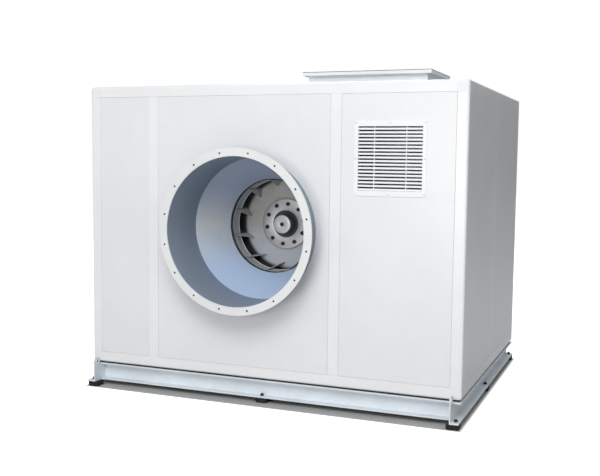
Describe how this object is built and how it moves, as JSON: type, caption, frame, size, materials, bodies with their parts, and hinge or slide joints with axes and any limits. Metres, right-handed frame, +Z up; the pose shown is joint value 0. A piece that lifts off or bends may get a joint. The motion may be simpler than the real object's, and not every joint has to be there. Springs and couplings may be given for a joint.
{
  "type": "cabinet centrifugal fan",
  "caption": "Cabinet fan: panelled box on a channel base, round flanged inlet, backward-curved blower wheel on a belt-driven shaft in a scroll, louvre, roof outlet.",
  "frame": {"origin": "middle of the base at floor level, where the rubber pads stand", "axes": "+Z up; the round inlet faces -Y; +X to the right seen from the inlet side"},
  "size_m": [2.19, 1.89, 1.831],
  "materials": {
    "cabinet_paint": "satin white powder coat on double-skin steel panels",
    "frame_paint": "satin white powder coat on the frame profiles",
    "corner_plastic": "moulded white corner pieces",
    "inlet_paint": "white painted spigot and flange",
    "cone_paint": "blue-grey painted spun cone",
    "wheel_paint": "warm grey painted welded wheel",
    "hub_steel": "machined grey steel",
    "shaft_steel": "bright ground steel",
    "bolt_steel": "zinc plated bolts",
    "galvanised": "galvanised sheet",
    "cast_iron": "cast iron, painted dark grey",
    "stand_paint": "grey painted welded steel",
    "belt_rubber": "black rubber belts",
    "motor_paint": "blue-grey painted aluminium motor",
    "box_plastic": "dark grey moulded box",
    "louvre_paint": "white painted louvre",
    "base_paint": "pale blue-grey painted channel",
    "black_rubber": "black rubber",
    "gasket_foam": "black closed-cell gasket",
    "canvas": "coated grey canvas",
    "hinge_black": "black moulded hinges and latches"
  },
  "bodies": {
    "root": {"corner_posts": "frame_paint", "frame_rails": "frame_paint", "corner_blocks": "corner_plastic", "mullions": "frame_paint", "roof_bars": "frame_paint", "floor_bars": "frame_paint", "outlet_curb": "frame_paint", "panel_landings": "galvanised", "panel_front_left": "cabinet_paint", "panel_front_inlet": "cabinet_paint", "panel_front_louvre": "cabinet_paint", "side_panels": "cabinet_paint", "rear_panels": "cabinet_paint", "roof_panels": "cabinet_paint", "floor_panels": "cabinet_paint", "louvre_frame": "louvre_paint", "louvre_slats": "louvre_paint", "inlet_spigot": "inlet_paint", "inlet_cone": "cone_paint", "scroll_wrapper": "galvanised", "scroll_front_plate": "galvanised", "scroll_rear_plate": "galvanised", "scroll_feet": "galvanised", "outlet_duct": "galvanised", "outlet_gasket": "gasket_foam", "flexible_connector": "canvas", "bearing_housings": "cast_iron", "bearing_balls": "shaft_steel", "bearing_pedestal": "stand_paint", "drive_beams": "stand_paint", "drive_bolts": "bolt_steel", "v_belts": "belt_rubber", "motor_frame": "motor_paint", "motor_end_shields": "motor_paint", "motor_cowl": "motor_paint", "terminal_box": "box_plastic", "slide_rails": "stand_paint", "base_side_beams": "base_paint", "base_cross_beams": "base_paint", "base_gasket": "gasket_foam", "rubber_pads": "black_rubber", "pad_bolts": "hinge_black", "door_hinges_fixed": "hinge_black"},
    "wheel": {"wheel_shroud": "wheel_paint", "wheel_blades": "wheel_paint", "wheel_backplate": "wheel_paint", "hub_ring": "hub_steel", "wheel_hub": "hub_steel", "hub_bolts": "bolt_steel", "fan_shaft": "shaft_steel", "shaft_end_disc": "shaft_steel", "bearing_inner_rings": "shaft_steel", "driven_pulley": "cast_iron"},
    "motor_shaft": {"motor_rotor": "shaft_steel", "motor_fan": "box_plastic", "drive_pulley": "cast_iron"},
    "door": {"rear_door": "cabinet_paint", "door_hinges_moving": "hinge_black"},
    "lower_latch": {"latch_lower": "hinge_black"},
    "upper_latch": {"latch_upper": "hinge_black"}
  },
  "joints": [
    {"name": "wheel_spin", "type": "hinge", "parent": "root", "child": "wheel", "pos_m": [-0.104, -0.21, 0.951], "axis": [0, -1, 0], "continuous": true},
    {"name": "motor_spin", "type": "hinge", "parent": "root", "child": "motor_shaft", "pos_m": [0.605, 0.345, 0.453], "axis": [0, -1, 0], "continuous": true},
    {"name": "door_hinge", "type": "hinge", "parent": "root", "child": "door", "pos_m": [1.035, 0.893, 0.938], "axis": [0, 0, -1], "range_deg": [0, 110]},
    {"name": "lower_latch_turn", "type": "hinge", "parent": "door", "child": "lower_latch", "pos_m": [0.481, 0.885, 0.538], "axis": [0, -1, 0], "range_deg": [0, 90]},
    {"name": "upper_latch_turn", "type": "hinge", "parent": "door", "child": "upper_latch", "pos_m": [0.481, 0.885, 1.338], "axis": [0, -1, 0], "range_deg": [0, 90]}
  ],
  "couplings": [
    {"joint": "motor_spin", "follows": "wheel_spin", "ratio": 2}
  ]
}
